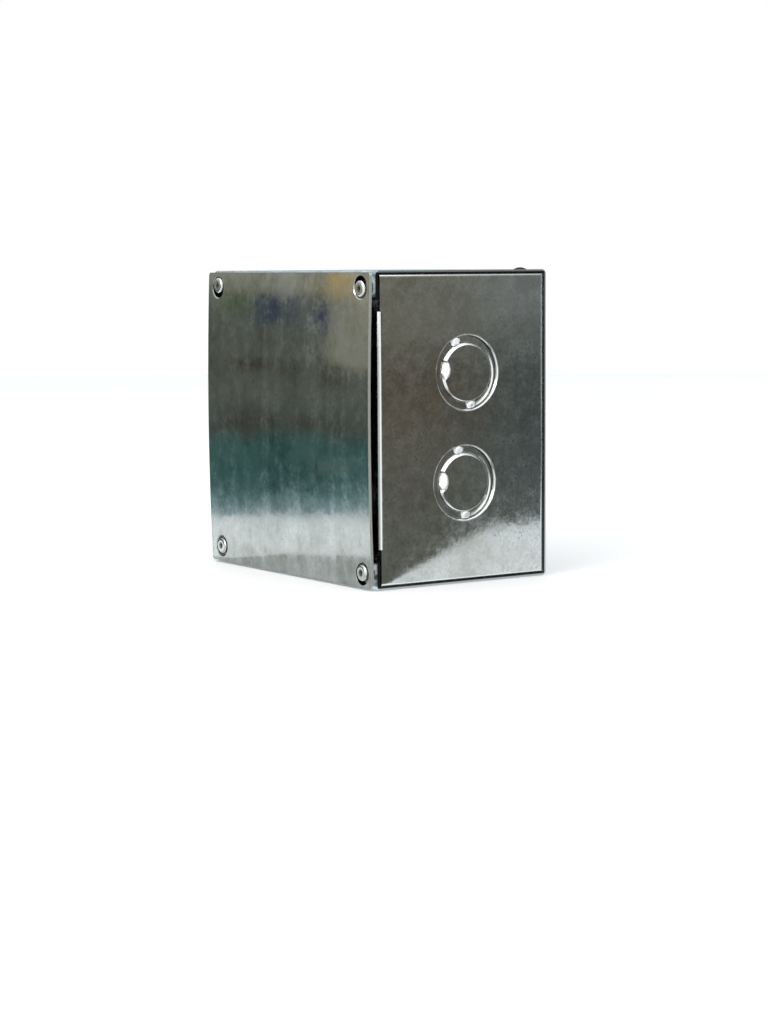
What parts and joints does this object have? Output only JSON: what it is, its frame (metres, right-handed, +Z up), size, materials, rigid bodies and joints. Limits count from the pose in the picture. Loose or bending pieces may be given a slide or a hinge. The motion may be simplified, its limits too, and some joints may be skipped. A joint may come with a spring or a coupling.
{
  "type": "electrical junction box",
  "caption": "Square folded sheet-steel junction box with a flat screw-down lid, concentric round conduit knockouts in both end panels and an earth stud inside.",
  "frame": {"origin": "centre of the footprint on the bottom face, at the middle of the overall depth", "axes": "+Z up, the lid faces -Y, the back faces +Y, end panels at -X and +X"},
  "size_m": [0.106, 0.0737, 0.1067],
  "materials": {
    "galvanised_wrap": "galvanised sheet, semi-gloss, mottled",
    "galvanised_panel": "galvanised sheet, semi-gloss, speckled",
    "galvanised_lid": "galvanised sheet, semi-gloss, vertical rolling streaks",
    "knockout": "galvanised sheet with bright sheared edges",
    "plated_screw": "bright zinc plate",
    "stud_steel": "dark steel",
    "earth_brass": "turned brass"
  },
  "bodies": {
    "box": {"body_wrap": "galvanised_wrap", "end_panel_right": "galvanised_panel", "end_panel_left": "galvanised_panel", "earth_stud": "stud_steel"},
    "lid": {"lid": "galvanised_lid"},
    "lid_screw_top_left": {"lid_screw_top_left": "plated_screw"},
    "lid_screw_top_right": {"lid_screw_top_right": "plated_screw"},
    "lid_screw_bottom_left": {"lid_screw_bottom_left": "plated_screw"},
    "lid_screw_bottom_right": {"lid_screw_bottom_right": "plated_screw"},
    "knockout_ring_right_upper": {"knockout_ring_right_upper": "knockout"},
    "knockout_disc_right_upper": {"knockout_disc_right_upper": "knockout"},
    "knockout_ring_right_lower": {"knockout_ring_right_lower": "knockout"},
    "knockout_disc_right_lower": {"knockout_disc_right_lower": "knockout"},
    "knockout_ring_left_upper": {"knockout_ring_left_upper": "knockout"},
    "knockout_disc_left_upper": {"knockout_disc_left_upper": "knockout"},
    "knockout_ring_left_lower": {"knockout_ring_left_lower": "knockout"},
    "knockout_disc_left_lower": {"knockout_disc_left_lower": "knockout"},
    "earth_washers": {"earth_star_washer": "plated_screw", "earth_plain_washer": "earth_brass"},
    "earth_nut": {"earth_nut": "earth_brass"}
  },
  "joints": [
    {"name": "lid_off", "type": "slide", "parent": "box", "child": "lid", "axis": [0, -1, 0], "range_m": [0, 0.09]},
    {"name": "screw_turn_top_left", "type": "hinge", "parent": "lid", "child": "lid_screw_top_left", "pos_m": [-0.0457, -0.03462, 0.1008], "axis": [0, -1, 0], "continuous": true},
    {"name": "screw_turn_top_right", "type": "hinge", "parent": "lid", "child": "lid_screw_top_right", "pos_m": [0.0473, -0.03462, 0.1001], "axis": [0, -1, 0], "continuous": true},
    {"name": "screw_turn_bottom_left", "type": "hinge", "parent": "lid", "child": "lid_screw_bottom_left", "pos_m": [-0.0454, -0.03462, 0.0062], "axis": [0, -1, 0], "continuous": true},
    {"name": "screw_turn_bottom_right", "type": "hinge", "parent": "lid", "child": "lid_screw_bottom_right", "pos_m": [0.0473, -0.03462, 0.0056], "axis": [0, -1, 0], "continuous": true},
    {"name": "knock_out_25_right_upper", "type": "slide", "parent": "box", "child": "knockout_ring_right_upper", "axis": [-1, 0, 0], "range_m": [0, 0.015]},
    {"name": "knock_out_20_right_upper", "type": "slide", "parent": "knockout_ring_right_upper", "child": "knockout_disc_right_upper", "axis": [-1, 0, 0], "range_m": [0, 0.012]},
    {"name": "knock_out_25_right_lower", "type": "slide", "parent": "box", "child": "knockout_ring_right_lower", "axis": [-1, 0, 0], "range_m": [0, 0.015]},
    {"name": "knock_out_20_right_lower", "type": "slide", "parent": "knockout_ring_right_lower", "child": "knockout_disc_right_lower", "axis": [-1, 0, 0], "range_m": [0, 0.012]},
    {"name": "knock_out_25_left_upper", "type": "slide", "parent": "box", "child": "knockout_ring_left_upper", "axis": [1, 0, 0], "range_m": [0, 0.015]},
    {"name": "knock_out_20_left_upper", "type": "slide", "parent": "knockout_ring_left_upper", "child": "knockout_disc_left_upper", "axis": [1, 0, 0], "range_m": [0, 0.012]},
    {"name": "knock_out_25_left_lower", "type": "slide", "parent": "box", "child": "knockout_ring_left_lower", "axis": [1, 0, 0], "range_m": [0, 0.015]},
    {"name": "knock_out_20_left_lower", "type": "slide", "parent": "knockout_ring_left_lower", "child": "knockout_disc_left_lower", "axis": [1, 0, 0], "range_m": [0, 0.012]},
    {"name": "earth_washers_drop", "type": "slide", "parent": "box", "child": "earth_washers", "axis": [0, 0, -1], "range_m": [0, 0.0035]},
    {"name": "earth_nut_turn", "type": "hinge", "parent": "earth_washers", "child": "earth_nut", "pos_m": [0.0472, 0.03015, 0.101], "axis": [0, 0, -1], "range_deg": [0, 1801]}
  ],
  "couplings": [
    {"joint": "earth_nut_turn", "follows": "earth_washers_drop", "rad_per_m": 8976}
  ]
}
